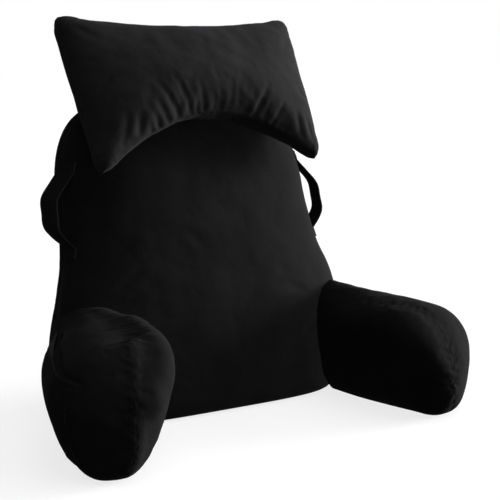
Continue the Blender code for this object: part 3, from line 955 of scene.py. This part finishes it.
def make_neck(cutter, material):
    across, up = (np.sin(np.linspace(-math.pi / 2, math.pi / 2, count)) for count in NECK_COUNTS)
    front, rear = neck_grids(across[:, None], up[None, :])
    points = np.concatenate([front.reshape(-1, 3), rear.reshape(-1, 3)])
    faces = slab_faces(*front.shape[:2])
    neck = add_piece("neck_filled", points, faces, material)
    points, normals = read_points(neck), read_points(neck, "normal")
    rim = np.concatenate([front[:, 0], front[-1, 1:], front[-2::-1, -1], front[0, -2::-1]])
    share = np.linspace(0, 1, 30)[:, None]
    push = sew(points, normals, rim, NECK_SEAM, seed=21)
    push += NECK_WRINKLES * blow_up(points, faces, rim, front[NECK_FULLER, 0], NECK_FULLNESS)
    push += lumps(points, NECK_LUMPS)
    for start, end, depth, width in NECK_CREASES:
        line = neck_grids(*((first + (last - first) * share) for first, last in zip(start, end)))[0]
        push += crease(points, line[:, 0], depth, width)
    for place, length, lean, depth in GATHERS:
        fold = neck_grids(place + lean * share, -0.99 + 2 * GATHER_REACH * length * share)[0]
        width = GATHER_WIDTH + GATHER_WIDENING * depth
        push += crease(points, fold[:, 0], GATHER_SHARE * depth, width, GATHER_PEAK)
    points = points + push[:, None] * normals
    for corner in (front[0, 0], front[0, -1], front[-1, 0], front[-1, -1]):
        points = shape_ear(points, normals, corner)
    write_points(neck, points)
    cut_away(neck, cutter)
    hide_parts("neck_pillow")
    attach(neck, "root")
    return neck


def make_strap(name, side, material):
    share = np.linspace(0, 1, STRAP_COUNTS[0])
    height = STRAP_TOP + (STRAP_BOTTOM - STRAP_TOP) * share
    tab = STRAP_TAB / (STRAP_TOP - STRAP_BOTTOM)
    bow = np.clip((share - tab) / (1 - 2 * tab), 0, 1)
    loop = read_table(STRAP_BOW_COLUMNS, STRAP_BOW_ROWS)
    stand_off = STRAP_STAND_OFF * smooth(loop["share"], loop["stand_off"], bow)
    middle = back_section(height)[2] - STRAP_FORWARD
    edge = np.linspace(-STRAP_WIDTH / 2, STRAP_WIDTH / 2, STRAP_COUNTS[1])
    y = middle[:, None] + edge[None, :]
    z = np.repeat(height[:, None], len(edge), axis=1)
    x = side_of_back(y, z) + STRAP_LIFT + stand_off[:, None]
    inner = np.stack([x, y, z], axis=-1)
    tangent = np.gradient(inner, axis=0)
    normal = np.stack([-tangent[..., 2], np.zeros_like(x), tangent[..., 0]], axis=-1)
    normal /= np.linalg.norm(normal, axis=-1, keepdims=True)
    outer = inner + CLOTH_THICKNESS * normal
    flip = np.array([side, 1, 1])
    points = np.concatenate([(outer * flip).reshape(-1, 3), (inner * flip).reshape(-1, 3)])
    strap = add_piece(name + "_loop", points, slab_faces(*outer.shape[:2]), material)
    points, normals = read_points(strap), read_points(strap, "normal")
    push = sum(sew(points, normals, outer[row, 1:-1] * flip, WEBBING_SEAM) for row in WEBBING_SEAM_ROWS)
    write_points(strap, points + push[:, None] * normals)
    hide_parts(name)
    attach(strap, "root")
    return strap


def pocket_skin(run, drop, side, lift=0.0):
    """The arm's skin behind the pocket, from its rear edge to its front and from its mouth down."""
    along = POCKET_REAR + (POCKET_FRONT - POCKET_REAR) * run
    mouth = POCKET_MOUTH_REAR + (POCKET_MOUTH_FRONT - POCKET_MOUTH_REAR) * run**3 + lift
    heights = mouth[:, None] + (POCKET_FOOT - mouth)[:, None] * drop[None, :]
    angle = np.array([angle_at_height(place, row) for place, row in zip(along, heights)])
    return arm_skin(along[:, None], angle, side)


def pocket_borders(side):
    """Lines on the arm just above the pocket's mouth and just before its front edge."""
    mouth = pocket_skin(np.linspace(0.15, 1.0, 60), np.zeros(1), side, lift=0.004)[:, 0]
    front_edge = pocket_skin(np.array([1.02]), np.linspace(0, 1, 60), side)[0]
    return mouth, front_edge


def make_pocket(side, material):
    run, drop = (np.linspace(0, 1, count) for count in POCKET_COUNTS)
    bulge = POCKET_GAPE * (np.sin(math.pi * run) ** 0.6)[:, None] * (1 - drop)[None, :]
    skin = pocket_skin(run, drop, side)
    outward = np.cross(np.gradient(skin, axis=0), np.gradient(skin, axis=1))
    outward /= np.linalg.norm(outward, axis=-1, keepdims=True)
    outward *= np.sign(outward[..., :1] * side)
    inner = skin + (POCKET_LIFT + bulge)[..., None] * outward
    from_edge = np.minimum(np.minimum(run, 1 - run)[:, None] * 60, (1 - drop)[None, :] * 30)
    thickness = POCKET_EDGE_SHARE + (1 - POCKET_EDGE_SHARE) * np.clip(from_edge, 0, 1)
    outer = inner + (CLOTH_THICKNESS * thickness)[..., None] * outward
    points = np.concatenate([outer.reshape(-1, 3), inner.reshape(-1, 3)])
    pocket = add_piece("pocket_patch", points, slab_faces(*outer.shape[:2]), material)
    points, normals = read_points(pocket), read_points(pocket, "normal")
    outside = np.arange(len(points)) < outer[..., 0].size
    middle = len(run) // 2
    hem = np.interp(POCKET_HEM, np.linalg.norm(outer[middle] - outer[middle, 0], axis=1), drop)
    hem_line = np.stack([[np.interp(hem, drop, column) for column in row.T] for row in outer])
    border = np.concatenate([outer[2, 2:], outer[2:-2, -3], outer[-3, ::-1][2:]])
    stitched = sew(points, normals, hem_line, HEM_SEAM, seed=51)
    stitched += sew(points, normals, border, POCKET_SEAM, seed=53)
    push = np.where(outside, stitched, 0) + lumps(points, POCKET_LUMPS)
    write_points(pocket, points + push[:, None] * normals)
    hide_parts("pocket_left")
    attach(pocket, "root")
    return pocket


# ---------------------------------------------------------------- stage

CAMERA_PLACE = (-0.998, -1.858, 0.6385)
CAMERA_AZIMUTH = math.radians(-30.66)
CAMERA_PITCH = math.radians(9.6)
CAMERA_LENS = 82.8

FLOOR_LOOK = {
    "Base Color": (0.30, 0.30, 0.30, 1),
    "Roughness": 1,
    "Specular IOR Level": 0,
    "Emission Color": WHITE,
    "Emission Strength": 0.73,
}
BACKDROP_LOOK = {
    "Base Color": (0, 0, 0, 1),
    "Specular IOR Level": 0,
    "Emission Color": WHITE,
    "Emission Strength": 1,
}
SKY_STRENGTH = 0.08

# azimuths run from the front round to the right
LIGHT_COLUMNS = ("azimuth", "elevation", "strength", "spread", "shadow")
LIGHT_ROWS = (
    (80, 10, 5.2, 24, True),
    (74, 8, 4.2, 50, False),
    (-20, 12, 0.4, 40, True),
    (-75, 5, 0.5, 50, False),
    (50, 72, 1.3, 60, True),
)


def make_camera():
    data = bpy.data.cameras.new("camera")
    data.lens = CAMERA_LENS
    data.sensor_width = 36
    camera = bpy.data.objects.new("camera", data)
    camera.location = CAMERA_PLACE
    camera.rotation_euler = (math.pi / 2 - CAMERA_PITCH, 0, CAMERA_AZIMUTH)
    bpy.context.scene.collection.objects.link(camera)
    bpy.context.scene.camera = camera


def make_floor():
    bpy.ops.mesh.primitive_plane_add(size=60, location=(0, 0, -0.0005))
    floor = bpy.context.object
    floor.name = "floor"
    floor.data.materials.append(new_material("pale_floor", FLOOR_LOOK)[0])
    only_seen(floor)


def make_backdrop():
    bpy.ops.mesh.primitive_uv_sphere_add(radius=40, location=(0, 0, 0))
    dome = bpy.context.object
    dome.name = "backdrop"
    dome.data.materials.append(new_material("white_backdrop", BACKDROP_LOOK)[0])
    dome.visible_shadow = False
    only_seen(dome)


def only_seen(piece):
    """A piece of the stage that the camera sees, but that throws no light on the pillow."""
    piece.visible_diffuse = False
    piece.visible_glossy = False


def make_light():
    world = bpy.data.worlds.new("studio")
    world.use_nodes = True
    set_sockets(world.node_tree.nodes["Background"], {"Color": WHITE, "Strength": SKY_STRENGTH})
    bpy.context.scene.world = world
    for row in LIGHT_ROWS:
        look = dict(zip(LIGHT_COLUMNS, row))
        azimuth, elevation = math.radians(look["azimuth"]), math.radians(look["elevation"])
        data = bpy.data.lights.new("studio", "SUN")
        data.energy = look["strength"]
        data.angle = math.radians(look["spread"])
        data.use_shadow = look["shadow"]
        light = bpy.data.objects.new("studio", data)
        level = math.cos(elevation)
        towards = Vector((math.sin(azimuth) * level, -math.cos(azimuth) * level, math.sin(elevation)))
        light.rotation_euler = towards.to_track_quat("Z", "Y").to_euler()
        bpy.context.scene.collection.objects.link(light)
    bpy.context.scene.view_settings.view_transform = "Standard"


# ---------------------------------------------------------------- the pillow in its studio

cloth = velvet("black_velvet", 1.0)
# The arms' velvet is a darkened copy of the back's, which is painted shade, and the neck pillow's is a
# lightened copy, which is painted light.
right_arm_painted_shade_cloth = velvet("black_velvet_painted_shade_right_arm", RIGHT_ARM_PAINTED_SHADE)
left_arm_painted_shade_cloth = velvet("black_velvet_painted_shade_left_arm", LEFT_ARM_PAINTED_SHADE)
neck_painted_light_cloth = velvet("black_velvet_painted_light_neck_pillow", NECK_PAINTED_LIGHT)
band = webbing("black_webbing")
seat = make_cutter()
make_back(cloth)
make_arm("arm_right", 1, seat, right_arm_painted_shade_cloth)
make_arm("arm_left", -1, seat, left_arm_painted_shade_cloth)
make_neck(seat, neck_painted_light_cloth)
make_pocket(-1, left_arm_painted_shade_cloth)
make_strap("strap_right", 1, band)
make_strap("strap_left", -1, band)
bpy.data.objects.remove(seat, do_unlink=True)
make_camera()
make_floor()
make_backdrop()
make_light()
